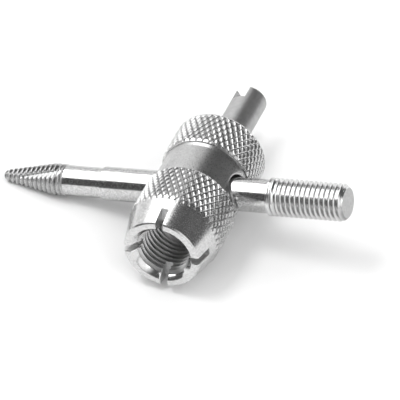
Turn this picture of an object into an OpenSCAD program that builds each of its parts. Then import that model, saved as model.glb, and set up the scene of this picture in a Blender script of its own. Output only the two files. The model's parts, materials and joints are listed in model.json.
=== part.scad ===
// Four-way tyre valve tool, lying on a table.
// A turned barrel carries a slotted thread die in its nose and a forked core remover at
// its rear. A cross bar is pressed through the waist of the barrel: one end is a
// left-hand extractor for broken cores, the other end a tap for the core thread.

/* [Barrel] */
// Diameter over the two knurled grip bands
band_d = 13; // [12.8:0.1:15]
// Length of the front grip band
front_band_l = 6; // [4:0.1:9]
// Length of the rear grip band
rear_band_l = 6; // [4:0.1:9]
// Chamfer on the edges of the grip bands
band_chamfer = 0.3; // [0.1:0.05:0.5]
// Diameter of the smooth waist between the bands
waist_d = 12.1; // [11:0.1:12.3]
// Length of the waist
waist_l = 5.8; // [5.6:0.1:8]
// Radius of the rounded rear edge
rear_round = 0.5; // [0.2:0.05:1]
// Number of knurl teeth round a grip band
knurl_count = 42; // [24:1:60]
// Distance along the barrel from one tooth to the next
knurl_lead = 1.58; // [1.2:0.02:2.4]
// Depth of the knurl
knurl_depth = 0.24; // [0.1:0.02:0.28]

/* [Die nose] */
// Length of the tapered nose in front of the front band
nose_l = 5.1; // [4:0.1:8]
// Diameter of the nose at its front end
nose_d = 10.8; // [10.2:0.1:12]
// Chamfer round the front rim
rim_chamfer = 0.25; // [0.1:0.05:0.5]
// Diameter of the lead-in at the mouth
mouth_d = 8.7; // [8.2:0.1:9.2]
// Depth of the conical lead-in
lead_in_depth = 1.3; // [0.8:0.1:2]
// Major diameter of the die thread
die_major_d = 7.74; // [7.5:0.02:8]
// Pitch of the die thread, 32 threads per inch
die_pitch = 0.79375; // [0.7:0.00625:0.9]
// Wall left between the bottom of the die bore and the cross hole
die_web = 1.2; // [0.8:0.1:2]
// Number of saw cuts across the rim, each of which makes two opposite slots
slot_cuts = 2; // [1:1:3]
// Width of a cutting slot
slot_w = 1; // [0.6:0.05:1.4]
// Depth of the slots
slot_depth = 2.65; // [1.5:0.05:3.5]
// Turn of the slots from the cross bar
slot_turn = -8; // [-44:1:44]

/* [Core remover] */
// Diameter of the core remover
remover_d = 4.6; // [4.2:0.05:4.8]
// Reach of the core remover behind the barrel
remover_reach = 11.5; // [8:0.1:16]
// Diameter of its tang, pressed into the rear of the barrel
tang_d = 3.8; // [3.2:0.05:4]
// Wall left between the tang's socket and the cross hole
socket_web = 1.6; // [1:0.1:3]
// Diameter of the clearance bore for the valve pin
pin_bore_d = 2.6; // [2.2:0.05:3]
// Depth of that bore
pin_bore_depth = 8; // [5:0.5:12]
// Width of the fork notch that grips the core
fork_w = 2.3; // [2:0.05:2.9]
// Depth of the fork notch
fork_depth = 2.2; // [1.2:0.05:3]
// Turn of the notch from the cross bar
fork_turn = 111; // [90:1:180]
// Chamfer on the end of the remover
remover_chamfer = 0.1; // [0.05:0.05:0.3]

/* [Cross bar] */
// Diameter of the bar where it is pressed through the barrel
bar_d = 4.6; // [4.2:0.05:5]
// Widening of each mouth of the cross hole, on the radius
mouth_widening = 0.5; // [0.2:0.05:0.5]
// Depth of that widening below the waist
mouth_widening_l = 1.45; // [0.8:0.05:1.8]
// Gap between bar or tang and its hole, on the radius
press_gap = 0; // [0:0.005:0.02]

/* [Tap] */
// Distance from the barrel axis to the end of the tap
tap_reach = 21.8; // [18:0.1:26]
// Length of the threaded end
tap_l = 11.4; // [8:0.1:13]
// Major diameter of the tap thread
tap_major_d = 5.2; // [5.1:0.02:5.4]
// Pitch of the tap thread, 36 threads per inch
tap_pitch = 0.70556; // [0.6:0.00001:0.8]
// Length over which the thread runs out towards the shank
tap_runout = 1.2; // [0.8:0.1:3]
// Length of the chamfer at the tap's end
tap_chamfer = 0.45; // [0.2:0.05:0.8]

/* [Extractor] */
// Distance from the barrel axis to the extractor's tip
extractor_reach = 28.5; // [25:0.1:34]
// Length of the left-hand spiral
extractor_l = 8.7; // [7:0.1:10]
// Length of its tapered front part
extractor_taper_l = 6.9; // [5:0.1:6.9]
// Diameter over the spiral at the tip
tip_d = 1.4; // [1.2:0.05:1.8]
// Chamfer on the tip
tip_chamfer = 0.3; // [0.1:0.05:0.4]
// Diameter over the spiral at the thick end
spiral_d = 4.3; // [4.2:0.05:4.5]
// Depth of the spiral
spiral_depth = 0.28; // [0.15:0.01:0.35]
// Pitch of the spiral
spiral_pitch = 0.72; // [0.65:0.01:0.9]
// Diameter of the plain rod behind the spiral
rod_d = 4.15; // [3.9:0.05:4.2]
// Length of the plain rod
rod_l = 5.9; // [4:0.1:7]
// Depth of the chip flute below the crests, where it is deepest
flute_depth = 0.6; // [0.3:0.05:0.7]
// Distance from the tip to that deepest place
flute_from_tip = 3.2; // [2.5:0.1:4]
// Turn of the flute there, from the top towards the die
flute_front_turn = 46; // [0:1:90]
// Turn of the flute where it runs out at the thick end
flute_back_turn = 11; // [0:1:90]

/* [Hidden] */
$fn = 64;
// Thread facets round one turn
thread_steps = 20;
// Overlap that keeps cutters clear of the faces they cut through
over = 0.5;
// The same for thread grooves, small enough that their turns stay apart
thread_over = 0.1;

// Radii
band_r = band_d / 2;
waist_r = waist_d / 2;
nose_r = nose_d / 2;
mouth_r = mouth_d / 2;
remover_r = remover_d / 2;
tang_r = tang_d / 2;
pin_bore_r = pin_bore_d / 2;
bar_r = bar_d / 2;
rod_r = rod_d / 2;
tip_r = tip_d / 2;
spiral_r = spiral_d / 2;
tap_major_r = tap_major_d / 2;
die_major_r = die_major_d / 2;
hole_r = bar_r + press_gap;
socket_r = tang_r + press_gap;

// Slope of the point that a drill leaves at the bottom of a hole
drill_angle = 30;

// Thread proportions of a 60 degree profile, as shares of the pitch
thread_depth_share = 0.5735;
root_share = 1 / 8;
groove_share = 4 / 5;
flank_slope = (groove_share - root_share) / thread_depth_share;
tap_depth = thread_depth_share * tap_pitch;
die_depth = thread_depth_share * die_pitch;
tap_minor_r = tap_major_r - tap_depth;
die_minor_r = die_major_r - die_depth;

// Proportions of the extractor's spiral, as shares of its pitch
spiral_root_share = 0.2;
spiral_groove_share = 0.86;

// Height by which the turned bands stand proud of the knurl that is formed on them
band_proud = 0.2;
// Turn of the knurl about the barrel axis, as a share of the distance between two teeth
knurl_phase = 0.32;
// Shift of its rows along the barrel, for the front and the rear band
front_knurl_shift = 0.05;
rear_knurl_shift = -0.17;

// Stations along the barrel, from the axis of the cross bar
front_band_y = -waist_l / 2;
nose_y = front_band_y - front_band_l;
face_y = nose_y - nose_l;
rear_band_y = waist_l / 2;
rear_y = rear_band_y + rear_band_l;
bore_end_y = -(hole_r + die_web);
drill_point_l = die_minor_r * tan(drill_angle);
socket_y = hole_r + socket_web;
remover_end_y = rear_y + remover_reach;
nose_slope = (band_r - nose_r) / (nose_l - rim_chamfer);

// Stations along the bar, from the axis of the barrel
spiral_end_x = -extractor_reach + extractor_l;
rod_end_x = spiral_end_x + rod_l;
tap_start_x = tap_reach - tap_l;
rod_step = bar_r - rod_r;
tap_step = tap_major_r - bar_r;
spiral_step = spiral_r - rod_r;

// Resting attitude: the bands stand on the table and the spiral leans on it, at its tip
// or at the thick end of its taper, whichever touches first
shoulder_x = extractor_reach - extractor_taper_l;
function lean(x, r) = asin(band_r / norm([x, r])) - atan2(r, x);
bar_lean = min(lean(extractor_reach - tip_chamfer, tip_r), lean(shoulder_x, spiral_r));

// Bounding box of the resting tool, which puts the origin under its middle
tap_end_r = tap_major_r - tap_chamfer;
low_x = -extractor_reach * cos(bar_lean) - (tip_r - tip_chamfer) * sin(bar_lean);
high_x = tap_reach * cos(bar_lean) + tap_end_r * sin(bar_lean);
mid_x = (low_x + high_x) / 2;
mid_y = (face_y + remover_end_y) / 2;

// From the tool's own axes, bar along X and barrel along Y, to the table
module lay_down() {
    translate([-mid_x, -mid_y, band_r])
        rotate([0, -bar_lean, 0])
            children();
}

// Children drawn along Z come to lie along the barrel, nose at -Y
module along_barrel() {
    rotate([-90, 0, 0]) children();
}

// Children drawn along Z come to lie along the bar, extractor at -X
module along_bar() {
    rotate([0, 90, 0]) children();
}

// Turns its children about the barrel axis, from the bar towards the top
module turn_on_barrel(angle) {
    rotate([0, -angle, 0]) children();
}

// A helical band about Z from z = 0 to length. Its section runs from inner_w wide at
// radius inner(z) to outer_w wide at radius outer(z). hand is 1 for a right-hand thread
// and -1 for a left-hand one.
module helical_band(length, pitch, inner, outer, inner_w, outer_w, hand = 1) {
    last = ceil(length / pitch * thread_steps);
    function ring(i) =
        let (a = hand * 360 * i / thread_steps, z = i * pitch / thread_steps, u = [cos(a), sin(a)])
        [
            [inner(z) * u.x, inner(z) * u.y, z - inner_w / 2],
            [outer(z) * u.x, outer(z) * u.y, z - outer_w / 2],
            [outer(z) * u.x, outer(z) * u.y, z + outer_w / 2],
            [inner(z) * u.x, inner(z) * u.y, z + inner_w / 2]
        ];
    function quad(i, k) =
        let (a = 4 * i + k, b = 4 * i + (k + 1) % 4)
        [[a, b, b + 4], [a, b + 4, a + 4]];
    function facing(face) = hand > 0 ? face : [for (k = [len(face) - 1:-1:0]) face[k]];
    polyhedron(
        points = [for (i = [0:last]) each ring(i)],
        faces = [
            facing([3, 2, 1, 0]),
            for (i = [0:last - 1], k = [0:3]) for (face = quad(i, k)) facing(face),
            facing([for (k = [0:3]) 4 * last + k])
        ]
    );
}

// Solid of revolution of the barrel, before the knurl is formed and any hole is cut. Nose
// and chamfers run on past the band's diameter, so that the knurl alone ends the bands.
module barrel_turned() {
    proud_r = band_r + band_proud;
    edge = band_chamfer + band_proud;
    round_at = [band_r - rear_round, rear_y - rear_round];
    rear_edge = [for (a = [15:15:90]) round_at + rear_round * [cos(a), sin(a)]];
    edge_line = rear_edge[0] - rear_edge[1];
    rotate_extrude()
        polygon(concat(
            [
                [0, face_y],
                [nose_r - rim_chamfer, face_y],
                [nose_r, face_y + rim_chamfer],
                [proud_r, nose_y + band_proud / nose_slope],
                [proud_r, front_band_y - edge],
                [band_r - band_chamfer, front_band_y],
                [waist_r, front_band_y],
                [waist_r, rear_band_y],
                [band_r - band_chamfer, rear_band_y],
                [proud_r, rear_band_y + edge],
                rear_edge[0] + edge_line * (proud_r - rear_edge[0].x) / edge_line.x
            ],
            rear_edge,
            [[0, rear_y]]
        ));
}

// Rod with the diamond knurl of both bands. Each row of points round it is by turns the tip
// of a tooth and a crossing of two grooves, and the next row is turned by half a tooth.
module knurled_rod() {
    row_l = knurl_lead / 2;
    function rows(from, to, shift) =
        [for (k = [floor((from - shift) / row_l) - 1:ceil((to - shift) / row_l)]) k];
    front = rows(nose_y - knurl_depth / nose_slope, front_band_y, front_knurl_shift);
    rear = rows(rear_band_y, rear_y, rear_knurl_shift);
    stations = concat(
        [[face_y - over, front[0]]],
        [for (k = front) [k * row_l + front_knurl_shift, k]],
        [for (k = rear) [k * row_l + rear_knurl_shift, k]]
    );
    cols = 2 * knurl_count;
    last = len(stations) - 1;
    function tooth(i, k) = (i + k) % 2 == 0 ? 0 : 1;
    function point(i, station) =
        let (a = 180 * (i + 2 * knurl_phase) / knurl_count)
        let (r = band_r - knurl_depth * (1 - tooth(i, station[1])))
        [r * cos(a), r * sin(a), station[0]];
    function quad(j, i) =
        let (a = j * cols + i, b = j * cols + (i + 1) % cols, c = b + cols, d = a + cols)
        tooth(i, stations[j][1]) == 0 ? [[a, c, b], [a, d, c]] : [[a, d, b], [b, d, c]];
    polyhedron(
        points = [for (station = stations) for (i = [0:cols - 1]) point(i, station)],
        faces = concat(
            [[for (i = [0:cols - 1]) i]],
            [for (j = [0:last - 1], i = [0:cols - 1]) each quad(j, i)],
            [[for (i = [cols - 1:-1:0]) last * cols + i]]
        )
    );
}

// Turned and knurled barrel, before any hole is cut
module barrel_blank() {
    intersection() {
        barrel_turned();
        knurled_rod();
    }
}

// Core hole of the die: lead-in cone, tapping bore and drill point
module die_bore() {
    rotate_extrude()
        polygon([
            [0, face_y - over],
            [mouth_r, face_y - over],
            [mouth_r, face_y],
            [die_minor_r, face_y + lead_in_depth],
            [die_minor_r, bore_end_y - drill_point_l],
            [0, bore_end_y]
        ]);
}

// Helical groove of the die thread, from the lead-in to near the bottom of the bore
module die_groove() {
    start = face_y + lead_in_depth - die_pitch;
    length = bore_end_y - drill_point_l - die_pitch - start;
    translate([0, 0, start])
        helical_band(
            length, die_pitch,
            function(z) die_minor_r - thread_over,
            function(z) die_major_r,
            groove_share * die_pitch + flank_slope * thread_over,
            root_share * die_pitch
        );
}

// One saw cut straight across the face, which makes two opposite slots
module slot_cut() {
    translate([-band_r, -slot_w / 2, face_y - over])
        cube([2 * band_r, slot_w, slot_depth + over]);
}

// Cross hole, which widens towards the mouth at both ends
module cross_hole() {
    mouth_l = mouth_widening_l + over;
    slope = mouth_widening / mouth_widening_l;
    cylinder(r = hole_r, h = 2 * band_r + 2 * over, center = true);
    for (side = [0, 1])
        mirror([0, 0, side])
            translate([0, 0, waist_r - mouth_widening_l])
                cylinder(r1 = hole_r, r2 = hole_r + slope * mouth_l, h = mouth_l);
}

module barrel() {
    color("silver")
        lay_down()
            difference() {
                along_barrel() barrel_blank();
                along_barrel() die_bore();
                along_barrel() die_groove();
                for (k = [0:slot_cuts - 1])
                    turn_on_barrel(slot_turn + k * 180 / slot_cuts)
                        along_barrel() slot_cut();
                along_bar() cross_hole();
                along_barrel()
                    translate([0, 0, socket_y])
                        cylinder(r = socket_r, h = rear_y - socket_y + over);
            }
}

// Core remover: its shoulder seats on the rear of the barrel, its tang fills the socket
module core_remover() {
    bore_y = remover_end_y - pin_bore_depth;
    fork_l = 2 * remover_d;
    color("lightgray")
        lay_down()
            difference() {
                along_barrel()
                    rotate_extrude()
                        polygon([
                            [0, socket_y],
                            [tang_r - remover_chamfer, socket_y],
                            [tang_r, socket_y + remover_chamfer],
                            [tang_r, rear_y],
                            [remover_r, rear_y],
                            [remover_r, remover_end_y - remover_chamfer],
                            [remover_r - remover_chamfer, remover_end_y],
                            [pin_bore_r, remover_end_y],
                            [pin_bore_r, bore_y],
                            [0, bore_y - pin_bore_r * tan(drill_angle)]
                        ]);
                turn_on_barrel(fork_turn)
                    translate([-fork_l / 2, remover_end_y - fork_depth, -fork_w / 2])
                        cube([fork_l, fork_depth + over, fork_w]);
            }
}

// Radius over the spiral's crests, at a distance from the tip
function spiral_crest(d) = lookup(d, [[0, tip_r], [extractor_taper_l, spiral_r], [extractor_l, spiral_r]]);

// Solid of revolution of the bar: extractor cone, plain rod, pressed shank and tap blank
module bar_blank() {
    rotate_extrude()
        polygon([
            [0, -extractor_reach],
            [tip_r - tip_chamfer, -extractor_reach],
            [tip_r, tip_chamfer - extractor_reach],
            [spiral_r, -shoulder_x],
            [spiral_r, spiral_end_x - spiral_step],
            [rod_r, spiral_end_x],
            [rod_r, rod_end_x - rod_step],
            [bar_r, rod_end_x],
            [bar_r, tap_start_x],
            [tap_major_r, tap_start_x + tap_step],
            [tap_major_r, tap_reach - tap_chamfer],
            [tap_end_r, tap_reach],
            [0, tap_reach]
        ]);
}

// Left-hand helical groove of the extractor, which runs out at the thick end
module spiral_groove() {
    fade_from = extractor_l - spiral_pitch;
    function depth(z) = lookup(z, [[0, spiral_depth], [fade_from, spiral_depth], [extractor_l, 0]]);
    translate([0, 0, -extractor_reach])
        helical_band(
            extractor_l, spiral_pitch,
            function(z) spiral_crest(z) - depth(z),
            function(z) spiral_crest(z) + thread_over,
            spiral_root_share * spiral_pitch,
            spiral_groove_share * spiral_pitch,
            -1
        );
}

// Chip flute: a square vee cut on a straight line that dips below the crests on the taper
// and runs out at the thick end
module chip_flute() {
    function place(x, r, turn) = [x, -r * sin(turn), r * cos(turn)];
    deep_r = spiral_crest(flute_from_tip) - flute_depth;
    deep = place(flute_from_tip - extractor_reach, deep_r, flute_front_turn);
    run_out = place(spiral_end_x, spiral_r, flute_back_turn);
    line = run_out - deep;
    half_l = norm(line);
    vee_w = 3 * flute_depth;
    mid_turn = (flute_front_turn + flute_back_turn) / 2;
    translate(deep)
        rotate([0, -atan2(line.z, norm([line.x, line.y])), atan2(line.y, line.x)])
            rotate([mid_turn + 45, 0, 0])
                translate([-half_l, 0, 0])
                    cube([2 * half_l, vee_w, vee_w]);
}

// Right-hand helical groove of the tap thread, which runs out at the shank
module tap_groove() {
    function depth(z) = lookup(z, [[0, 0], [tap_runout, tap_depth]]);
    translate([0, 0, tap_start_x + tap_step])
        helical_band(
            tap_l, tap_pitch,
            function(z) tap_major_r - depth(z),
            function(z) tap_major_r + thread_over,
            root_share * tap_pitch,
            groove_share * tap_pitch + flank_slope * thread_over
        );
}

module cross_bar() {
    color("gainsboro")
        lay_down()
            difference() {
                along_bar() bar_blank();
                along_bar() spiral_groove();
                along_bar() tap_groove();
                chip_flute();
            }
}

barrel();
core_remover();
cross_bar();
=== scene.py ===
"""Four-way tyre valve tool in bright plated steel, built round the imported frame."""

import json
import math

import bmesh
import bpy
import numpy as np
from mathutils import Matrix, Vector


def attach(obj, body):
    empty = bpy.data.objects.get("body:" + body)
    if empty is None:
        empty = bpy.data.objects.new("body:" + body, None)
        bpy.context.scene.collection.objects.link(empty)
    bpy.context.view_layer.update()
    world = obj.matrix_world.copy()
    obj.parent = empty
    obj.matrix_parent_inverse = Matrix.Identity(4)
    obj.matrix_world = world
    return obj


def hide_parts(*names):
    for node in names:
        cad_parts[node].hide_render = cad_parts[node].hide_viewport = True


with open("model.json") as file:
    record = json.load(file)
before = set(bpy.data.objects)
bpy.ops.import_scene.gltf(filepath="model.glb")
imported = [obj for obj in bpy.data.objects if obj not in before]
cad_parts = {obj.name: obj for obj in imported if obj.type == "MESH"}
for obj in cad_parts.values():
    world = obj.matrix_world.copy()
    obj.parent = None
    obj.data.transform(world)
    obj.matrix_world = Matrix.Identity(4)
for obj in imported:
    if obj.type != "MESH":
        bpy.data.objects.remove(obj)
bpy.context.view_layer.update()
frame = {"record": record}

# Sizes are millimetres in the tool's own axes: the bar lies along X and the barrel along Y,
# their axes cross at the origin, and the die nose points to -Y
MM = 0.001
TAU = 2 * math.pi

# Barrel
BAND_R = 6.5
WAIST_R = 6.05
NOSE_R = 5.4
FACE_Y = -14.0
NOSE_Y = -8.9
FRONT_BAND_Y = -2.9
REAR_BAND_Y = 2.9
REAR_Y = 8.9
REAR_ROUND = 0.5
RIM_CHAMFER = 0.2
RIM_ROUND = 0.08
EDGE_SOFT = 0.05
BAND_EDGE_L = 0.4
BAND_EDGE_R = 6.33
WAIST_FLARE_L = 0.6
WAIST_FLARE = 0.09
STEP_L = 0.03

# Diamond knurl of the grip bands: teeth to the turn, their lead along the barrel, and vee grooves
# whose width is a share of a tooth. One set of grooves fades towards the rear.
KNURL_COUNT = 42
KNURL_LEAD = 1.58
KNURL_DEPTH = 0.22
KNURL_PHASE = 0.32
KNURL_FRONT_SHIFT = 0.05
KNURL_REAR_SHIFT = -0.17
KNURL_CELLS = 8
KNURL_FRONT_WIDTH = 0.38
KNURL_REAR_WIDTH = 0.34
KNURL_REAR_DEPTH = 0.19
KNURL_FADE_FROM = 4.4
KNURL_FADE_TO = 6.6
KNURL_FADE_LEFT = 0.65

# Die in the nose
MOUTH_R = 4.35
LEAD_IN = 1.3
DIE_MAJOR_R = 3.87
DIE_PITCH = 0.79375
DIE_BORE_END = -3.5
SLOT_W = 1.0
SLOT_DEPTH = 2.65
SLOT_TURN = -8
SLOT_COUNT = 4
SLOT_EDGE = 0.07

# Cross hole and the remover's socket in the barrel
HOLE_R = 2.31
HOLE_MOUTH_R = 2.92
HOLE_MOUTH_DEPTH = 1.3
HOLE_MOUTH_RISE = 0.2
HOLE_MOUTH_LIP = 0.02
# Round shoulder of the mouth, as radius and depth below the waist
HOLE_SHOULDER = ((2.5, 0.5), (2.56, 0.28), (2.62, 0.15), (2.7, 0.07), (2.79, 0.02))
SOCKET_R = 1.91
SOCKET_Y = 3.9

# Core remover
REMOVER_R = 2.3
REMOVER_END_Y = 20.4
REMOVER_CHAMFER = 0.1
TANG_R = 1.9
PIN_BORE_R = 1.3
PIN_BORE_DEPTH = 8
FORK_W = 2.3
FORK_DEPTH = 2.2
FORK_TURN = 111
REMOVER_STEP = 0.25

# Cross bar
BAR_R = 2.3
ROD_R = 2.075
ROD_START_X = -19.4
ROD_END_X = -13.75
ROD_STEP_L = 0.06
SHANK_STEP = 0.5
TAP_START_X = 10.7
TAP_END_X = 21.95
TAP_MAJOR_R = 2.6
TAP_PITCH = 0.70556
TAP_CHAMFER = 0.55
TAP_EDGE = 0.18
TAP_STEP_SLOPE = 2.5
TAP_RUNOUT = 2.2
TAP_WAVE = 0.6
TIP_X = -28.7
TIP_R = 0.76
TIP_CHAMFER = 0.3
SPIRAL_R = 2.2
SPIRAL_TAPER_L = 7.4
SPIRAL_DEPTH = 0.25
SPIRAL_PITCH = 0.72
FLUTE_DEPTH = 0.25
FLUTE_FROM_TIP = 3.2
FLUTE_FRONT_TURN = 50
FLUTE_BACK_TURN = 13
FLUTE_WALL_TURN = 74
FLUTE_FLOOR_TURN = 15
FLUTE_EDGE = 0.08
NO_LIMIT = 100

# Thread proportions, and the rows of a mesh along one thread, as shares of the pitch
THREAD_DEPTH = 0.5735
THREAD_ROOT = 1 / 8
THREAD_GROOVE = 4 / 5
CREST_ROUND = 0.45
SHARP_ROWS = np.array([
    0, THREAD_ROOT / 2, THREAD_GROOVE / 2, 0.5, 1 - THREAD_GROOVE / 2, 1 - THREAD_ROOT / 2,
])
CREST_ROWS = np.linspace(0.28, 0.72, 15)
ROUND_ROWS = np.array([0, THREAD_ROOT / 2, 0.2, *CREST_ROWS, 0.8, 1 - THREAD_ROOT / 2])
WAVY_ROWS = np.arange(24) / 24
DIE_MINOR_R = DIE_MAJOR_R - THREAD_DEPTH * DIE_PITCH
DRILL_SLOPE = math.tan(math.radians(30))

# Meshing
COLUMNS = 128
ARC_STEPS = 6
POLE_R = 0.01
OVER = 0.5
MERGE = 1e-5
TINY = 1e-6
SHARP_ANGLE = math.radians(28)

# The frame says where the axes cross and how the bar leans on the table
mounts = {m["name"]: m for m in frame["record"]["mounts"]}
die_at = Vector(mounts["die_thread"]["pos_m"])
tap_at = Vector(mounts["tap_thread"]["pos_m"])
cross_at = Vector((die_at.x, tap_at.y, die_at.z))
bar_axis = Vector(mounts["tap_thread"]["axis"])
barrel_axis = Vector((0, 1, 0))
top_axis = bar_axis.cross(barrel_axis)
TOOL = (
    Matrix.Translation(cross_at)
    @ Matrix((bar_axis, barrel_axis, top_axis)).transposed().to_4x4()
    @ Matrix.Scale(MM, 4)
)
ALONG_BARREL = Matrix.Rotation(-math.pi / 2, 4, "X")
ALONG_BAR = Matrix.Rotation(math.pi / 2, 4, "Y")


def turned_on_barrel(turn):
    """A turn about the barrel axis in degrees, from the bar towards the top."""
    return Matrix.Rotation(-math.radians(turn), 4, "Y")


# Mesh helpers

def turns_of(count, cells=1):
    """Evenly spaced angles, count times cells of them to the turn."""
    return np.arange(count * cells) * TAU / (count * cells)


def lathe_points(angles, along, radius):
    """Grid of points about Z: one row per station along it, one column per angle."""
    angles, along, radius = np.broadcast_arrays(angles, along, radius)
    return np.stack([radius * np.cos(angles), radius * np.sin(angles), along], axis=-1)


def grid_faces(rows, cols, seam=0):
    """Quads of a grid closed round its columns. A helical grid meets itself seam rows on."""
    at = np.arange(rows * cols).reshape(rows, cols)
    inner = [at[:-1, :-1], at[:-1, 1:], at[1:, 1:], at[1:, :-1]]
    first = max(0, -seam)
    last = min(rows - 1, rows - 1 - seam)
    here = slice(first, last)
    here_up = slice(first + 1, last + 1)
    there = slice(first + seam, last + seam)
    there_up = slice(first + seam + 1, last + seam + 1)
    closing = [at[here, -1], at[there, 0], at[there_up, 0], at[here_up, -1]]
    quads = [np.stack(inner, -1).reshape(-1, 4), np.stack(closing, -1)]
    return np.concatenate(quads).tolist()


def split_cells(at, falling):
    """Two triangles for each cell of a grid of points, split along one diagonal or the other."""
    a = at[:-1]
    d = at[1:]
    b = np.roll(a, -1, axis=1)
    c = np.roll(d, -1, axis=1)
    falling = falling[..., None]
    first = np.where(falling, np.stack([a, b, d], -1), np.stack([a, b, c], -1))
    second = np.where(falling, np.stack([b, c, d], -1), np.stack([a, c, d], -1))
    return np.concatenate([first.reshape(-1, 3), second.reshape(-1, 3)]).tolist()


def add_mesh(name, points, faces, place, merge=0.0):
    """A new object from points in millimetres, set in the frame by place."""
    mesh = bpy.data.meshes.new(name)
    mesh.from_pydata(np.reshape(points, (-1, 3)).tolist(), [], faces)
    if merge:
        work = bmesh.new()
        work.from_mesh(mesh)
        bmesh.ops.remove_doubles(work, verts=work.verts, dist=merge)
        work.to_mesh(mesh)
        work.free()
    mesh.transform(place)
    obj = bpy.data.objects.new(name, mesh)
    bpy.context.scene.collection.objects.link(obj)
    return obj


def lathe_solid(name, angles, along, radius, place):
    """A closed solid of rings, with a flat cap at both ends."""
    points = lathe_points(angles, along, radius)
    rows, cols = points.shape[:2]
    faces = grid_faces(rows, cols)
    faces.append(list(range(cols))[::-1])
    faces.append(list(range((rows - 1) * cols, rows * cols)))
    return add_mesh(name, points, faces, place)


def dense(outline, step):
    """The (along, radius) points of an outline, with no stretch longer than step."""
    out = [outline[0]]
    for a, b in zip(outline, outline[1:]):
        parts = max(1, math.ceil(math.dist(a, b) / step))
        out += [tuple(np.add(a, np.subtract(b, a) * k / parts)) for k in range(1, parts + 1)]
    return np.array(out)


def arc(along, radius, size, start, end):
    """Outline points on a round edge, from one angle to another; 0 is straight outwards."""
    turns = np.radians(np.linspace(start, end, ARC_STEPS + 1))
    return list(zip(along + size * np.sin(turns), radius + size * np.cos(turns)))


def block(name, corners, place):
    """A solid with six flat sides from its corners, listed as two by two by two."""
    sides = [[0, 1, 3, 2], [4, 6, 7, 5], [0, 4, 5, 1], [2, 3, 7, 6], [0, 2, 6, 4], [1, 5, 7, 3]]
    at = np.reshape(corners, (8, 3))
    if np.linalg.det(at[[4, 2, 1]] - at[0]) < 0:
        sides = [side[::-1] for side in sides]
    return add_mesh(name, at, sides, place)


def cut(piece, cutter):
    """Takes the cutter away from the piece and deletes the cutter."""
    step = piece.modifiers.new("cut", "BOOLEAN")
    step.operation = "DIFFERENCE"
    step.solver = "MANIFOLD"
    step.object = cutter
    bpy.context.view_layer.update()
    graph = bpy.context.evaluated_depsgraph_get()
    shaped = bpy.data.meshes.new_from_object(piece.evaluated_get(graph))
    piece.modifiers.clear()
    old = piece.data
    piece.data = shaped
    bpy.data.meshes.remove(old)
    bpy.data.objects.remove(cutter)


def smooth(piece):
    """Smooth shading that keeps the machined edges crisp."""
    piece.data.shade_smooth()
    piece.data.set_sharp_from_angle(angle=SHARP_ANGLE)


# Threads

def soft_minimum(one, other, blend):
    """The smaller of two lengths, with the corner between them rounded over a blend length."""
    step = np.clip(0.5 + (other - one) / (2 * blend), 0, 1)
    return other + (one - other) * step - blend * step * (1 - step)


def sharp_groove(turns):
    """1 on the floor of a sharp vee groove, 0 on its flat crest, for turns from its middle."""
    away = np.abs(turns - np.round(turns))
    return 1 - np.clip((away - THREAD_ROOT / 2) / ((THREAD_GROOVE - THREAD_ROOT) / 2), 0, 1)


def round_groove(turns):
    """1 on the floor of a vee groove and 0 on the middle of its round crest."""
    away = np.abs(turns - np.round(turns))
    flank = (away - THREAD_GROOVE / 2) / ((THREAD_GROOVE - THREAD_ROOT) / 2)
    return np.clip(-soft_minimum(flank, 0, CREST_ROUND), 0, 1)


def wavy_groove(turns):
    """1 on the floor of a groove that is round at both its floor and its crest, 0 on the crest."""
    return 0.5 + 0.5 * np.cos(TAU * turns)


def helix_rows(span, start, pitch, hand, angles, shares):
    """Stations that follow a helix along a span, at the given shares of each pitch.

    With them come the turns from the middle of the groove, and the rows by which the grid is
    offset where it meets itself.
    """
    low, high = span
    first = math.floor((low - start) / pitch) - 2
    last = math.ceil((high - start) / pitch) + 2
    turns = (np.arange(first, last)[:, None] + shares[None, :]).reshape(-1, 1)
    along = np.clip(start + (turns + hand * angles / TAU) * pitch, low, high)
    return along, (along - start) / pitch - hand * angles / TAU, hand * len(shares)


def triangle(turns):
    """Triangle wave, 0 at whole turns and 1 half way between them."""
    return 1 - np.abs(2 * (turns - np.floor(turns)) - 1)


# Barrel

def barrel_outline():
    """Turned outline of the barrel as (along, radius) points, from the rim to the rear face."""
    edge = RIM_CHAMFER + RIM_ROUND / 2
    points = arc(FACE_Y + RIM_ROUND, NOSE_R - edge, RIM_ROUND, -90, -45)
    points += arc(FACE_Y + edge, NOSE_R - RIM_ROUND, RIM_ROUND, -45, 0)
    points += [
        (NOSE_Y, BAND_R),
        (FRONT_BAND_Y - BAND_EDGE_L, BAND_R),
        (FRONT_BAND_Y - STEP_L, BAND_EDGE_R),
        (FRONT_BAND_Y, WAIST_R),
        (REAR_BAND_Y - WAIST_FLARE_L, WAIST_R),
        (REAR_BAND_Y - STEP_L, WAIST_R + WAIST_FLARE),
        (REAR_BAND_Y, BAND_EDGE_R),
        (REAR_BAND_Y + BAND_EDGE_L, BAND_R),
    ]
    points += arc(REAR_Y - REAR_ROUND, BAND_R - REAR_ROUND, REAR_ROUND, 0, 90)
    return np.array(points)


def knurl_families(angles, along):
    """Depths of the two crossing sets of grooves, each a vee between flat tooth tops."""
    front = along < 0
    round_turns = KNURL_COUNT * angles / TAU - KNURL_PHASE
    rows = (along - np.where(front, KNURL_FRONT_SHIFT, KNURL_REAR_SHIFT)) / KNURL_LEAD
    width = np.where(front, KNURL_FRONT_WIDTH, KNURL_REAR_WIDTH)
    depth = np.where(front, KNURL_DEPTH, KNURL_REAR_DEPTH)
    fade = np.interp(along, [KNURL_FADE_FROM, KNURL_FADE_TO], [1, KNURL_FADE_LEFT])
    one = depth * (1 - np.minimum(triangle(round_turns + rows) / width, 1))
    other = depth * (1 - np.minimum(triangle(round_turns - rows) / width, 1))
    return one, other * fade


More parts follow.
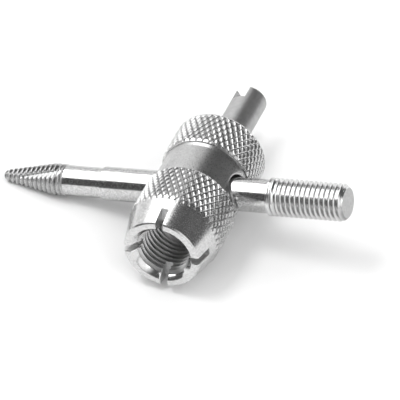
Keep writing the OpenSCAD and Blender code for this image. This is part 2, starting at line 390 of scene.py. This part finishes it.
def barrel_stations(outline):
    """Rows along the barrel: the outline's corners, and rows that follow the knurl's teeth."""
    row = KNURL_LEAD / KNURL_CELLS
    front = np.arange(math.ceil(FACE_Y / row), 0) * row + KNURL_FRONT_SHIFT
    rear = np.arange(1, math.floor(REAR_Y / row) + 1) * row + KNURL_REAR_SHIFT
    teeth = np.concatenate([front, rear])
    corners = outline[:, 0]
    near = np.abs(teeth[:, None] - corners[None, :]).min(axis=1) < row / 5
    return np.sort(np.concatenate([teeth[~near], corners]))


def barrel_blank():
    """The barrel's outside with its knurl rolled in, before any hole is cut."""
    outline = barrel_outline()
    along = barrel_stations(outline)[:, None]
    angles = turns_of(KNURL_COUNT, KNURL_CELLS) + KNURL_PHASE * TAU / KNURL_COUNT
    one, other = knurl_families(angles, along)
    turned = np.interp(along, outline[:, 0], outline[:, 1])
    radius = np.minimum(turned, BAND_R - np.maximum(one, other))
    points = lathe_points(angles, along, radius)
    rows, cols = points.shape[:2]
    half_cell = TAU / (2 * len(angles))
    middle = (along[1:] + along[:-1]) / 2
    one_mid, other_mid = knurl_families(angles + half_cell, middle)
    at = np.arange(rows * cols).reshape(rows, cols)
    faces = split_cells(at, one_mid > other_mid)
    faces.append(at[0, ::-1].tolist())
    faces.append(at[-1].tolist())
    return add_mesh("plated_barrel", points, faces, TOOL @ ALONG_BARREL)


def die_cutter():
    """Solid of the die's thread and drill point."""
    angles = turns_of(COLUMNS)
    start = FACE_Y + LEAD_IN - DIE_PITCH
    low = FACE_Y - OVER
    high = DIE_BORE_END - DIE_MINOR_R * DRILL_SLOPE
    along, turns, seam = helix_rows((low, high), start, DIE_PITCH, 1, angles, SHARP_ROWS)
    full = np.interp(along, [high - 2 * DIE_PITCH, high - DIE_PITCH], [1, 0])
    radius = DIE_MINOR_R + THREAD_DEPTH * DIE_PITCH * full * sharp_groove(turns)
    points = lathe_points(angles, along, radius)
    rows, cols = points.shape[:2]
    tip = lathe_points(angles, np.array([[DIE_BORE_END]]), np.array([[POLE_R]]))
    faces = grid_faces(rows, cols, seam)
    last = np.arange((rows - 1) * cols, (rows + 1) * cols).reshape(2, cols)
    drill = np.stack([last[0], np.roll(last[0], -1), np.roll(last[1], -1), last[1]], -1)
    faces += drill.tolist()
    faces.append(list(range(cols))[::-1])
    faces.append(last[1].tolist())
    solid = np.concatenate([points.reshape(-1, 3), tip.reshape(-1, 3)])
    return add_mesh("die_cutter", solid, faces, TOOL @ ALONG_BARREL, MERGE)


def lead_in_cutter():
    """Cone that opens the mouth of the die, with a broken edge at the rim."""
    slope = (MOUTH_R - DIE_MINOR_R) / LEAD_IN
    bend_r = DIE_MAJOR_R - (DIE_MAJOR_R - DIE_MINOR_R) / 4
    bend_y = FACE_Y + (MOUTH_R - bend_r) / slope
    outline = [
        (FACE_Y - OVER, MOUTH_R + EDGE_SOFT + OVER),
        (FACE_Y, MOUTH_R + EDGE_SOFT),
        (FACE_Y + EDGE_SOFT, MOUTH_R - EDGE_SOFT * slope),
        (bend_y, bend_r),
        (bend_y + (bend_r - DIE_MINOR_R) * slope, DIE_MINOR_R),
        (FACE_Y + LEAD_IN + OVER, DIE_MINOR_R - OVER),
    ]
    rows = np.array(outline)
    return lathe_solid("lead_in", turns_of(COLUMNS), rows[:, :1], rows[:, 1:], TOOL @ ALONG_BARREL)


def slot_cutter(turn):
    """Saw cut straight across the face, which makes two opposite slots."""
    half = SLOT_W / 2
    ends = [FACE_Y - OVER, FACE_Y + SLOT_DEPTH]
    x, y, z = np.meshgrid([-BAND_R, BAND_R], ends, [-half, half], indexing="ij")
    return block("slot", np.stack([x, y, z], -1), TOOL @ turned_on_barrel(turn))


def slot_edge_cutter(turn, near, far, inward):
    """Breaks both edges of a slot along a line from near to far, each (along, radius).

    inward is the way into the metal, as (along, radius).
    """
    corners = []
    for end in (near, far):
        for depth, half in ((1, SLOT_W / 2), (-1, SLOT_W / 2 + 2 * SLOT_EDGE)):
            y, x = np.add(end, np.multiply(inward, depth * SLOT_EDGE))
            corners += [(x, y, -half), (x, y, half)]
    return block("slot_edge", corners, TOOL @ turned_on_barrel(turn))


def break_slot_edges(barrel, turn):
    """Breaks the edges of one slot on the nose, on the rim and in the lead-in."""
    slope = (BAND_R - NOSE_R) / (NOSE_Y - FACE_Y - RIM_CHAMFER)
    nose_end = (FACE_Y + SLOT_DEPTH, NOSE_R + (SLOT_DEPTH - RIM_CHAMFER) * slope)
    rim_end = (FACE_Y, NOSE_R - RIM_CHAMFER * slope)
    cut(barrel, slot_edge_cutter(turn, rim_end, nose_end, (0, -1)))
    cut(barrel, slot_edge_cutter(turn, (FACE_Y, MOUTH_R), (FACE_Y, NOSE_R), (1, 0)))
    cut(barrel, slot_edge_cutter(turn, (FACE_Y, MOUTH_R), (FACE_Y + LEAD_IN, DIE_MINOR_R), (0, 1)))


def hole_cutter():
    """Plain cross hole."""
    along = np.array([[-BAND_R - OVER], [BAND_R + OVER]])
    radius = np.array([[HOLE_R], [HOLE_R]])
    return lathe_solid("hole", turns_of(COLUMNS), along, radius, TOOL @ ALONG_BAR)


def hole_mouth_cutter(side):
    """Widened mouth of the cross hole, with an edge that follows the round waist."""
    outer = HOLE_MOUTH_R + HOLE_MOUTH_LIP
    profile = [
        (HOLE_R - EDGE_SOFT, HOLE_MOUTH_DEPTH + 2 * EDGE_SOFT),
        (HOLE_R, HOLE_MOUTH_DEPTH),
        *HOLE_SHOULDER,
        (HOLE_MOUTH_R, 0),
        (outer, -HOLE_MOUTH_RISE),
    ]
    angles = turns_of(COLUMNS)
    radius, below = np.array(profile).T[:, :, None]
    waist = np.sqrt(WAIST_R ** 2 - (radius * np.cos(angles)) ** 2)
    along = np.concatenate([waist - below, np.full((1, COLUMNS), BAND_R + OVER)])
    radius = np.concatenate([radius, [[outer]]])
    flip = Matrix.Rotation(0 if side > 0 else math.pi, 4, "Z")
    return lathe_solid("hole_mouth", angles, along, radius, TOOL @ flip @ ALONG_BAR)


def socket_cutter():
    """Blind socket that holds the remover's tang."""
    along = np.array([[SOCKET_Y], [REAR_Y + OVER]])
    radius = np.array([[SOCKET_R], [SOCKET_R]])
    return lathe_solid("socket", turns_of(COLUMNS), along, radius, TOOL @ ALONG_BARREL)


def make_barrel():
    """The knurled barrel with its die, slots, cross hole and rear socket."""
    barrel = barrel_blank()
    cut(barrel, die_cutter())
    cut(barrel, lead_in_cutter())
    for quarter in range(SLOT_COUNT):
        turn = SLOT_TURN + quarter * 360 / SLOT_COUNT
        if quarter < SLOT_COUNT / 2:
            cut(barrel, slot_cutter(turn))
        break_slot_edges(barrel, turn)
    cut(barrel, hole_cutter())
    cut(barrel, hole_mouth_cutter(1))
    cut(barrel, hole_mouth_cutter(-1))
    cut(barrel, socket_cutter())
    smooth(barrel)
    return barrel


# Core remover

def make_remover():
    """The turned remover with its tang, pin bore and fork."""
    bore_y = REMOVER_END_Y - PIN_BORE_DEPTH
    soft = EDGE_SOFT / 2
    outline = [
        (SOCKET_Y, POLE_R),
        (SOCKET_Y, TANG_R - REMOVER_CHAMFER),
        (SOCKET_Y + REMOVER_CHAMFER, TANG_R),
        (REAR_Y, TANG_R),
        (REAR_Y, REMOVER_R),
        (REMOVER_END_Y - REMOVER_CHAMFER - soft, REMOVER_R),
        (REMOVER_END_Y - REMOVER_CHAMFER / 3, REMOVER_R - REMOVER_CHAMFER / 3),
        (REMOVER_END_Y, REMOVER_R - REMOVER_CHAMFER - soft),
        (REMOVER_END_Y, PIN_BORE_R),
        (bore_y, PIN_BORE_R),
        (bore_y - PIN_BORE_R * DRILL_SLOPE, POLE_R),
    ]
    rows = dense(outline, REMOVER_STEP)
    place = TOOL @ ALONG_BARREL
    remover = lathe_solid("forked_remover", turns_of(COLUMNS), rows[:, :1], rows[:, 1:], place)
    reach = 2 * REMOVER_R
    notch_y = [REMOVER_END_Y - FORK_DEPTH, REMOVER_END_Y + OVER]
    x, y, z = np.meshgrid([-reach, reach], notch_y, [-FORK_W / 2, FORK_W / 2], indexing="ij")
    cut(remover, block("notch", np.stack([x, y, z], -1), TOOL @ turned_on_barrel(FORK_TURN)))
    smooth(remover)
    return remover


# Cross bar

def spiral_crest(along):
    """Radius over the extractor's crests."""
    return np.interp(along - TIP_X, [0, SPIRAL_TAPER_L], [TIP_R, SPIRAL_R])


def beside_bar(along, radius, turn):
    """Point at a radius from the bar's axis, at a turn in degrees from the top to the front."""
    turn = math.radians(turn)
    return np.array([along, -radius * math.sin(turn), radius * math.cos(turn)])


def flute_limit(angles, along):
    """Radius left by the straight vee that is cut along the extractor, with a wall and a floor."""
    deep_x = TIP_X + FLUTE_FROM_TIP
    deep = beside_bar(deep_x, spiral_crest(deep_x) - FLUTE_DEPTH, FLUTE_FRONT_TURN)
    line = beside_bar(ROD_START_X, SPIRAL_R, FLUTE_BACK_TURN) - deep
    aside = math.atan2(line[1], line[0])
    rise = math.atan2(line[2], math.hypot(line[0], line[1]))
    lie = Matrix.Rotation(aside, 3, "Z") @ Matrix.Rotation(-rise, 3, "Y")
    limit = np.zeros_like(along)
    for turn in (FLUTE_WALL_TURN, FLUTE_FLOOR_TURN):
        normal = np.array(lie @ Vector(beside_bar(0, 1, turn)))
        outward = normal[1] * np.sin(angles) - normal[2] * np.cos(angles)
        reach = deep @ normal - along * normal[0]
        crossing = np.where(outward > TINY, reach / np.maximum(outward, TINY), NO_LIMIT)
        limit = np.maximum(limit, crossing)
    return limit


def spiral_grid(angles):
    """Left-hand tapered spiral of the extractor, with its chip flute."""
    span = (TIP_X, ROD_START_X)
    along, turns, seam = helix_rows(span, TIP_X, SPIRAL_PITCH, -1, angles, ROUND_ROWS)
    full = np.interp(along, [ROD_START_X - SPIRAL_PITCH, ROD_START_X], [1, 0])
    radius = spiral_crest(along) - SPIRAL_DEPTH * full * round_groove(turns)
    radius = np.minimum(radius, TIP_R - TIP_CHAMFER + along - TIP_X)
    radius = np.minimum(radius, ROD_R + ROD_START_X - along)
    radius = soft_minimum(radius, flute_limit(angles, along), FLUTE_EDGE)
    return lathe_points(angles, along, radius), seam


def shank_grid(angles):
    """Plain rod and the thicker shank that is pressed through the barrel."""
    outline = [
        (ROD_START_X, ROD_R),
        (ROD_END_X - ROD_STEP_L, ROD_R),
        (ROD_END_X, BAR_R),
        (TAP_START_X, BAR_R),
    ]
    rows = dense(outline, SHANK_STEP)
    return lathe_points(angles, rows[:, :1], rows[:, 1:]), 0


def tap_grid(angles):
    """Right-hand tap thread, which runs out at the shank and is chamfered at the end."""
    start = TAP_START_X + (TAP_MAJOR_R - BAR_R) / TAP_STEP_SLOPE
    span = (TAP_START_X, TAP_END_X)
    along, turns, seam = helix_rows(span, start, TAP_PITCH, 1, angles, WAVY_ROWS)
    full = np.interp(along, [start, start + TAP_RUNOUT], [0, 1])
    groove = (1 - TAP_WAVE) * round_groove(turns) + TAP_WAVE * wavy_groove(turns)
    radius = TAP_MAJOR_R - THREAD_DEPTH * TAP_PITCH * full * groove
    radius = np.minimum(radius, BAR_R + (along - TAP_START_X) * TAP_STEP_SLOPE)
    chamfer = TAP_MAJOR_R - TAP_CHAMFER + TAP_END_X - along
    radius = soft_minimum(radius, chamfer, TAP_EDGE)
    return lathe_points(angles, along, radius), seam


def make_bar():
    """Extractor, rod, shank and tap as one closed solid."""
    angles = turns_of(COLUMNS)
    points = []
    faces = []
    count = 0
    for grid, seam in (spiral_grid(angles), shank_grid(angles), tap_grid(angles)):
        rows, cols = grid.shape[:2]
        faces += [[count + v for v in face] for face in grid_faces(rows, cols, seam)]
        points.append(grid.reshape(-1, 3))
        count += rows * cols
    faces.append(list(range(COLUMNS))[::-1])
    faces.append(list(range(count - COLUMNS, count)))
    place = TOOL @ ALONG_BAR
    bar = add_mesh("threaded_cross_bar", np.concatenate(points), faces, place, MERGE)
    smooth(bar)
    return bar


# Materials

# Ranges of the noise that are spread over the whole range of a tone or a gloss
TONE_SPREAD = (0.32, 0.68)
GLOSS_SPREAD = (0.3, 0.7)
GLOSS_FINER = 2.3
LINES_PER_MM = 9
# Painted shade: the share of the colour that is left on the floor of each kind of groove
KNURL_SHADE = 0.6
DIE_SHADE = 0.75
TAP_SHADE = 0.45
SPIRAL_SHADE = 0.75


def add_node(tree, kind, **inputs):
    """A new shader node with its unlinked sockets set."""
    made = tree.nodes.new(kind)
    for name, value in inputs.items():
        made.inputs[name.replace("_", " ")].default_value = value
    return made


def vector_step(tree, operation, vector, other=None):
    """A vector node of one operation on a linked vector and a constant one."""
    step = tree.nodes.new("ShaderNodeVectorMath")
    step.operation = operation
    tree.links.new(vector, step.inputs[0])
    if other is not None:
        step.inputs[1].default_value = other
    return step


def combine(tree, operation, socket, other):
    """The product, sum or difference of two linked numbers."""
    step = tree.nodes.new("ShaderNodeMath")
    step.operation = operation
    tree.links.new(socket, step.inputs[0])
    tree.links.new(other, step.inputs[1])
    return step.outputs[0]


def ranged(tree, socket, low, high, to_low, to_high):
    """A linked number from low to high, brought to another range and held there."""
    step = add_node(
        tree, "ShaderNodeMapRange", From_Min=low, From_Max=high, To_Min=to_low, To_Max=to_high)
    tree.links.new(socket, step.inputs["Value"])
    return step.outputs["Result"]


def noise(tree, vector, per_mm, detail):
    """Noise in space with a number of features to the millimetre."""
    made = add_node(tree, "ShaderNodeTexNoise", Scale=per_mm / MM, Detail=detail, Roughness=0.55)
    tree.links.new(vector, made.inputs["Vector"])
    return made.outputs["Fac"]


def turning_lines(tree, along, per_mm):
    """Noise that only changes along an axis, as a lathe tool or a grinding wheel leaves it."""
    made = add_node(tree, "ShaderNodeTexNoise", Scale=per_mm / MM, Detail=3.0, Roughness=0.6)
    made.noise_dimensions = "1D"
    tree.links.new(along, made.inputs["W"])
    return made.outputs["Fac"]


def bump(tree, height, depth_mm, normal=None):
    """A bump of a given depth on top of another one."""
    made = add_node(tree, "ShaderNodeBump", Strength=1.0, Distance=depth_mm * MM)
    tree.links.new(height, made.inputs["Height"])
    if normal is not None:
        tree.links.new(normal, made.inputs["Normal"])
    return made.outputs["Normal"]


def plated_steel(name, axis, tone, gloss, mottle, waves, lines, groove=None, underside=False):
    """Bright plate over turned steel.

    tone is the darkest and the lightest grey of its mottle, gloss the range of its roughness,
    mottle the number of mottles to the millimetre. waves and lines are the depths, in
    millimetres, of its uneven plate and of the turning lines across the axis. groove paints
    shade into the colour: it is two (along, radius) points on the crests, the depth below them,
    less than 0 inside a bore, and the share of the colour left there as painted shade, which
    underside keeps to the lower half of a lying piece.
    """
    material = bpy.data.materials.new(name)
    material.use_nodes = True
    tree = material.node_tree
    shader = tree.nodes["Principled BSDF"]
    shader.inputs["Metallic"].default_value = 1
    place = tree.nodes.new("ShaderNodeTexCoord").outputs["Object"]
    offset = vector_step(tree, "SUBTRACT", place, cross_at).outputs["Vector"]
    along = vector_step(tree, "DOT_PRODUCT", offset, axis).outputs["Value"]
    spots = noise(tree, place, mottle, 4.0)
    shade = ranged(tree, spots, *TONE_SPREAD, *tone)
    # Painted shade: the colour darkens from the crests down to the floor of the groove
    if groove:
        crest_from, crest_to, depth, left = groove
        start = np.multiply(crest_from, MM)
        end = np.multiply(crest_to, MM)
        around = vector_step(tree, "CROSS_PRODUCT", offset, axis).outputs["Vector"]
        away = vector_step(tree, "LENGTH", around).outputs["Value"]
        crest = ranged(tree, along, start[0], end[0], start[1], end[1])
        below = combine(tree, "SUBTRACT", crest, away)
        share = ranged(tree, below, 0, depth * MM, 0, 1)
        # Painted shade kept to the lower half of the piece, where its grooves lie in shade
        if underside:
            height = vector_step(tree, "DOT_PRODUCT", offset, top_axis).outputs["Value"]
            lower = ranged(tree, height, start[1] / 2, 0, 0, 1)
            share = combine(tree, "MULTIPLY", share, lower)
        shade = combine(tree, "MULTIPLY", shade, ranged(tree, share, 0, 1, 1, left))
    tree.links.new(shade, shader.inputs["Base Color"])
    fine_spots = noise(tree, place, GLOSS_FINER * mottle, 3.0)
    tree.links.new(ranged(tree, fine_spots, *GLOSS_SPREAD, *gloss), shader.inputs["Roughness"])
    normal = bump(tree, noise(tree, place, mottle, 2.0), waves)
    normal = bump(tree, turning_lines(tree, along, LINES_PER_MM), lines, normal)
    tree.links.new(normal, shader.inputs["Normal"])
    return material


def paint(piece, materials, finish_of):
    """Gives each face of a piece one of the materials, by its place in the tool."""
    piece.data.materials.clear()
    for material in materials:
        piece.data.materials.append(material)
    into_tool = TOOL.inverted()
    finish = [finish_of(into_tool @ face.center) for face in piece.data.polygons]
    piece.data.polygons.foreach_set("material_index", finish)


NOSE, KNURL, WAIST, BORE, SAWN, CONE = range(6)


def barrel_materials():
    """Finishes of the barrel: nose, knurl, waist, bore, sawn slots and lead-in cone."""
    # Painted shade in the knurl's valleys: the colour darkens to the floor of each groove
    knurl = ((FACE_Y, BAND_R), (REAR_Y, BAND_R), KNURL_DEPTH, KNURL_SHADE)
    # Painted shade in the die: the colour darkens from the thread crests out to the roots and stays
    # darkened beyond them
    die_depth = DIE_MINOR_R - DIE_MAJOR_R
    bore = ((FACE_Y, DIE_MINOR_R), (REAR_Y, DIE_MINOR_R), die_depth, DIE_SHADE)
    return [
        plated_steel(
            "nose_plate", barrel_axis, tone=(0.58, 0.8), gloss=(0.18, 0.3),
            mottle=3.2, waves=0.007, lines=0.001),
        plated_steel(
            "knurl_plate", barrel_axis, tone=(0.61, 0.71), gloss=(0.22, 0.32),
            mottle=2.5, waves=0.003, lines=0.0, groove=knurl),
        plated_steel(
            "waist_plate", barrel_axis, tone=(0.5, 0.58), gloss=(0.26, 0.32),
            mottle=2.2, waves=0.002, lines=0.002),
        plated_steel(
            "bore_plate", barrel_axis, tone=(0.58, 0.66), gloss=(0.3, 0.38),
            mottle=2.5, waves=0.001, lines=0.001, groove=bore),
        plated_steel(
            "sawn_plate", barrel_axis, tone=(0.62, 0.76), gloss=(0.4, 0.5),
            mottle=3.0, waves=0.003, lines=0.0),
        plated_steel(
            "lead_in_plate", barrel_axis, tone=(0.66, 0.78), gloss=(0.1, 0.18),
            mottle=3.0, waves=0.002, lines=0.001),
    ]


def on_slot(at):
    """Whether a place on the barrel lies on a wall or the floor of a slot."""
    if at.y > FACE_Y + SLOT_DEPTH + EDGE_SOFT:
        return False
    apart = 360 / SLOT_COUNT
    turn = math.degrees(math.atan2(at.z, at.x)) - SLOT_TURN
    beside = (turn + apart / 2) % apart - apart / 2
    across = abs(math.hypot(at.x, at.z) * math.sin(math.radians(beside)))
    return across < SLOT_W / 2 + SLOT_EDGE / 2


def barrel_finish(at, outline):
    """Which finish a place on the barrel has."""
    away = math.hypot(at.x, at.z)
    turned = np.interp(at.y, outline[:, 0], outline[:, 1])
    formed = BAND_R - KNURL_DEPTH - EDGE_SOFT < away < turned - EDGE_SOFT / 10
    banded = away > BAND_R - EDGE_SOFT and NOSE_Y < at.y < REAR_Y - REAR_ROUND
    in_die = away < DIE_MAJOR_R + EDGE_SOFT and at.y > FACE_Y + LEAD_IN - DIE_PITCH
    in_hole = math.hypot(at.y, at.z) < HOLE_R + 4 * EDGE_SOFT
    if on_slot(at):
        return SAWN
    # The cross hole's wall takes the darker bore finish: painted shade in the gap round the bar, which
    # the bar mirrors
    if in_die or in_hole:
        return BORE
    if formed or banded:
        return KNURL
    if abs(at.y) < REAR_BAND_Y + STEP_L:
        return WAIST
    if at.y < NOSE_Y and away < MOUTH_R:
        return CONE
    return NOSE


OUTSIDE, INSIDE = range(2)


def remover_materials():
    """Satin outside of the remover, and the duller finish of its notch and bore."""
    return [
        plated_steel(
            "remover_plate", barrel_axis, tone=(0.43, 0.51), gloss=(0.36, 0.44),
            mottle=1.2, waves=0.002, lines=0.001),
        plated_steel(
            "notch_plate", barrel_axis, tone=(0.62, 0.74), gloss=(0.45, 0.55),
            mottle=1.5, waves=0.002, lines=0.0),
    ]


def remover_finish(at):
    """Which finish a place on the remover has."""
    rim = REMOVER_R - REMOVER_CHAMFER - EDGE_SOFT
    return INSIDE if math.hypot(at.x, at.z) < rim else OUTSIDE


SHANK, TAP, EXTRACTOR, END = range(4)


def bar_materials():
    """Finishes of the bar: shank, tap, extractor and end face."""
    tap_depth = THREAD_DEPTH * TAP_PITCH
    # Painted shade in the tap's grooves, kept to the lower half of the lying bar
    thread = ((TAP_START_X, TAP_MAJOR_R), (TAP_END_X, TAP_MAJOR_R), tap_depth, TAP_SHADE)
    # Painted shade in the extractor's spiral grooves, all round
    spiral = ((TIP_X, TIP_R), (TIP_X + SPIRAL_TAPER_L, SPIRAL_R), SPIRAL_DEPTH, SPIRAL_SHADE)
    return [
        plated_steel(
            "shank_plate", bar_axis, tone=(0.46, 0.84), gloss=(0.1, 0.22),
            mottle=4.0, waves=0.0045, lines=0.002),
        plated_steel(
            "tap_plate", bar_axis, tone=(0.7, 0.78), gloss=(0.18, 0.26),
            mottle=3.0, waves=0.002, lines=0.0, groove=thread, underside=True),
        plated_steel(
            "extractor_plate", bar_axis, tone=(0.46, 0.58), gloss=(0.24, 0.32),
            mottle=3.0, waves=0.003, lines=0.001, groove=spiral),
        plated_steel(
            "end_plate", bar_axis, tone=(0.42, 0.52), gloss=(0.25, 0.35),
            mottle=2.0, waves=0.003, lines=0.0),
    ]


def bar_finish(at):
    """Which finish a place on the bar has."""
    if at.x > TAP_END_X - EDGE_SOFT / 5:
        return END
    if at.x > TAP_START_X:
        return TAP
    if at.x < ROD_START_X:
        return EXTRACTOR
    return SHANK


# Pieces on the frame

barrel = make_barrel()
remover = make_remover()
bar = make_bar()
barrel_line = barrel_outline()
paint(barrel, barrel_materials(), lambda at: barrel_finish(at, barrel_line))
paint(bar, bar_materials(), bar_finish)
paint(remover, remover_materials(), remover_finish)

for piece, cad_node, slot in (
    (barrel, "barrel", "barrel_plate"),
    (remover, "core_remover", "remover_plate"),
    (bar, "cross_bar", "bar_plate"),
):
    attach(piece, "root")
    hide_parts(cad_node)


# Studio: a white floor, a softbox above on the left that the plate mirrors, three lamps that
# light the floor, and a room that is light at the back left. The edges of a lamp are shares of
# its height above the tool.

FLOOR_SIZE = 8.0
FLOOR_TONE = 0.8
FLOOR_LIFT = 0.08
LAMP_H = 0.6
SOFTBOX_X = (-2.0, -0.12)
SOFTBOX_Y = (-0.7, 0.8)
SOFTBOX_RADIANCE = 2.8
SPREAD_X = (-1.5, -0.1)
SPREAD_Y = (-0.8, 0.8)
SPREAD_RADIANCE = 6.6
OVERHEAD_X = (0.0, 2.0)
OVERHEAD_Y = (-1.0, 1.0)
OVERHEAD_RADIANCE = 1.05
KEY_X = (-0.57, -0.23)
KEY_Y = (-0.33, 0.01)
KEY_RADIANCE = 12.0

# Room: walls that get lighter to the back and to the left, the pale sweep low behind the tool, a
# fill from the front right with a brighter core that the lead-in mirrors, and a low front light
# for the die. Each ramp is a pair of cosines to a direction.
ROOM_DARK = 0.1
ROOM_LIGHT = 1.05
BACK_RAMP = (-0.1, 0.6)
LEFT_RAMP = (0.1, 0.6)
SWEEP = 1.3
SWEEP_TOP = (0.25, 0.4)
SWEEP_BACK = (0.8, 0.9)
SWEEP_FADE = 0.3
FILL = 1.1
FILL_FROM = Vector((0.77, -0.4, 0.5)).normalized()
FILL_RAMP = (0.8, 0.95)
CORE = 1.6
CORE_FROM = Vector((0.59, -0.38, 0.71)).normalized()
CORE_RAMP = (0.98, 0.992)
FRONT = 0.35
FRONT_FROM = Vector((0.24, -0.96, 0.16)).normalized()
FRONT_RAMP = (0.88, 0.96)


def make_floor():
    """White floor that keeps the shadow of the tool."""
    half = FLOOR_SIZE / 2
    mesh = bpy.data.meshes.new("floor")
    corners = [(-half, -half, 0), (half, -half, 0), (half, half, 0), (-half, half, 0)]
    mesh.from_pydata(corners, [], [(0, 1, 2, 3)])
    floor = bpy.data.objects.new("floor", mesh)
    bpy.context.scene.collection.objects.link(floor)
    material = bpy.data.materials.new("pale_floor")
    material.use_nodes = True
    tree = material.node_tree
    tree.nodes.clear()
    link = tree.links.new
    out = tree.nodes.new("ShaderNodeOutputMaterial")
    matt = add_node(tree, "ShaderNodeBsdfDiffuse", Color=(FLOOR_TONE, FLOOR_TONE, FLOOR_TONE, 1))
    lift = add_node(tree, "ShaderNodeEmission", Color=(1, 1, 1, 1))
    path = tree.nodes.new("ShaderNodeLightPath")
    level = tree.nodes.new("ShaderNodeMath")
    level.operation = "MULTIPLY"
    level.inputs[1].default_value = FLOOR_LIFT
    link(path.outputs["Is Camera Ray"], level.inputs[0])
    link(level.outputs[0], lift.inputs["Strength"])
    both = tree.nodes.new("ShaderNodeAddShader")
    link(matt.outputs[0], both.inputs[0])
    link(lift.outputs[0], both.inputs[1])
    link(both.outputs[0], out.inputs["Surface"])
    mesh.materials.append(material)


def add_lamp(name, x, y, radiance):
    """Flat lamp facing down, between two edges each way."""
    lamp = bpy.data.lights.new(name, "AREA")
    lamp.shape = "RECTANGLE"
    lamp.size = (x[1] - x[0]) * LAMP_H
    lamp.size_y = (y[1] - y[0]) * LAMP_H
    lamp.energy = radiance * math.pi * lamp.size * lamp.size_y
    made = bpy.data.objects.new(name, lamp)
    bpy.context.scene.collection.objects.link(made)
    made.location = cross_at + Vector((sum(x) / 2, sum(y) / 2, 1)) * LAMP_H
    made.visible_camera = False
    return made


def make_lamps():
    """The softbox that the plate mirrors, and the lamps that light the floor."""
    softbox = add_lamp("softbox", SOFTBOX_X, SOFTBOX_Y, SOFTBOX_RADIANCE)
    softbox.visible_diffuse = False
    for name, x, y, radiance in (
        ("spread", SPREAD_X, SPREAD_Y, SPREAD_RADIANCE),
        ("overhead", OVERHEAD_X, OVERHEAD_Y, OVERHEAD_RADIANCE),
        ("key", KEY_X, KEY_Y, KEY_RADIANCE),
    ):
        lamp = add_lamp(name, x, y, radiance)
        lamp.visible_glossy = False


def towards(tree, place, direction):
    """Cosine between the direction that a ray leaves in and another direction."""
    return vector_step(tree, "DOT_PRODUCT", place, direction).outputs["Value"]


def room_level(tree):
    """Brightness of the room in each direction."""
    place = tree.nodes.new("ShaderNodeTexCoord").outputs["Generated"]
    back = towards(tree, place, (0, 1, 0))
    left = towards(tree, place, (-1, 0, 0))
    up = towards(tree, place, (0, 0, 1))
    far_back = ranged(tree, back, *BACK_RAMP, 0, 1)
    far_left = ranged(tree, left, *LEFT_RAMP, 0, 1)
    back_left = combine(tree, "MULTIPLY", far_back, far_left)
    level = ranged(tree, back_left, 0, 1, ROOM_DARK, ROOM_LIGHT)
    right_back = ranged(tree, back_left, 0, SWEEP_FADE, SWEEP, 0)
    low = ranged(tree, up, *SWEEP_TOP, 1, 0)
    behind = ranged(tree, back, *SWEEP_BACK, 0, 1)
    sweep = combine(tree, "MULTIPLY", combine(tree, "MULTIPLY", low, behind), right_back)
    level = combine(tree, "ADD", level, sweep)
    for strength, direction, ramp in (
        (FILL, FILL_FROM, FILL_RAMP),
        (CORE, CORE_FROM, CORE_RAMP),
        (FRONT, FRONT_FROM, FRONT_RAMP),
    ):
        glow = ranged(tree, towards(tree, place, direction), *ramp, 0, strength)
        level = combine(tree, "ADD", level, glow)
    return level


def make_room():
    """World that the plate mirrors, with a white backdrop for the camera."""
    world = bpy.data.worlds.new("room")
    bpy.context.scene.world = world
    world.use_nodes = True
    tree = world.node_tree
    tree.nodes.clear()
    link = tree.links.new
    out = tree.nodes.new("ShaderNodeOutputWorld")
    room = tree.nodes.new("ShaderNodeBackground")
    link(room_level(tree), room.inputs["Strength"])
    backdrop = tree.nodes.new("ShaderNodeBackground")
    room.inputs["Color"].default_value = (1, 1, 1, 1)
    backdrop.inputs["Color"].default_value = (1, 1, 1, 1)
    path = tree.nodes.new("ShaderNodeLightPath")
    mix = tree.nodes.new("ShaderNodeMixShader")
    link(path.outputs["Is Camera Ray"], mix.inputs["Fac"])
    link(room.outputs[0], mix.inputs[1])
    link(backdrop.outputs[0], mix.inputs[2])
    link(mix.outputs[0], out.inputs["Surface"])


make_floor()
make_lamps()
make_room()


# Camera at the photograph's viewing angle

VIEW_AZIMUTH = math.radians(20.82)
VIEW_ELEVATION = math.radians(41.03)
VIEW_DISTANCE = 1.0
VIEW_SHIFT = Vector((-0.244, 1.246)) * MM
PHOTO_SIZE = 400
PIXELS_PER_MM = 7.401
VIEW_WIDTH = PHOTO_SIZE / PIXELS_PER_MM * MM

toward = Vector((
    math.sin(VIEW_AZIMUTH) * math.cos(VIEW_ELEVATION),
    -math.cos(VIEW_AZIMUTH) * math.cos(VIEW_ELEVATION),
    math.sin(VIEW_ELEVATION),
))
right = Vector((math.cos(VIEW_AZIMUTH), math.sin(VIEW_AZIMUTH), 0))
upward = toward.cross(right)
camera_data = bpy.data.cameras.new("camera")
camera_data.sensor_width = 36
camera_data.lens = camera_data.sensor_width * VIEW_DISTANCE / VIEW_WIDTH
camera = bpy.data.objects.new("camera", camera_data)
bpy.context.scene.collection.objects.link(camera)
stand = cross_at + toward * VIEW_DISTANCE - right * VIEW_SHIFT.x - upward * VIEW_SHIFT.y
camera.matrix_world = Matrix.Translation(stand) @ Matrix((right, upward, toward)).transposed().to_4x4()
bpy.context.scene.camera = camera
bpy.context.scene.view_settings.view_transform = "Standard"
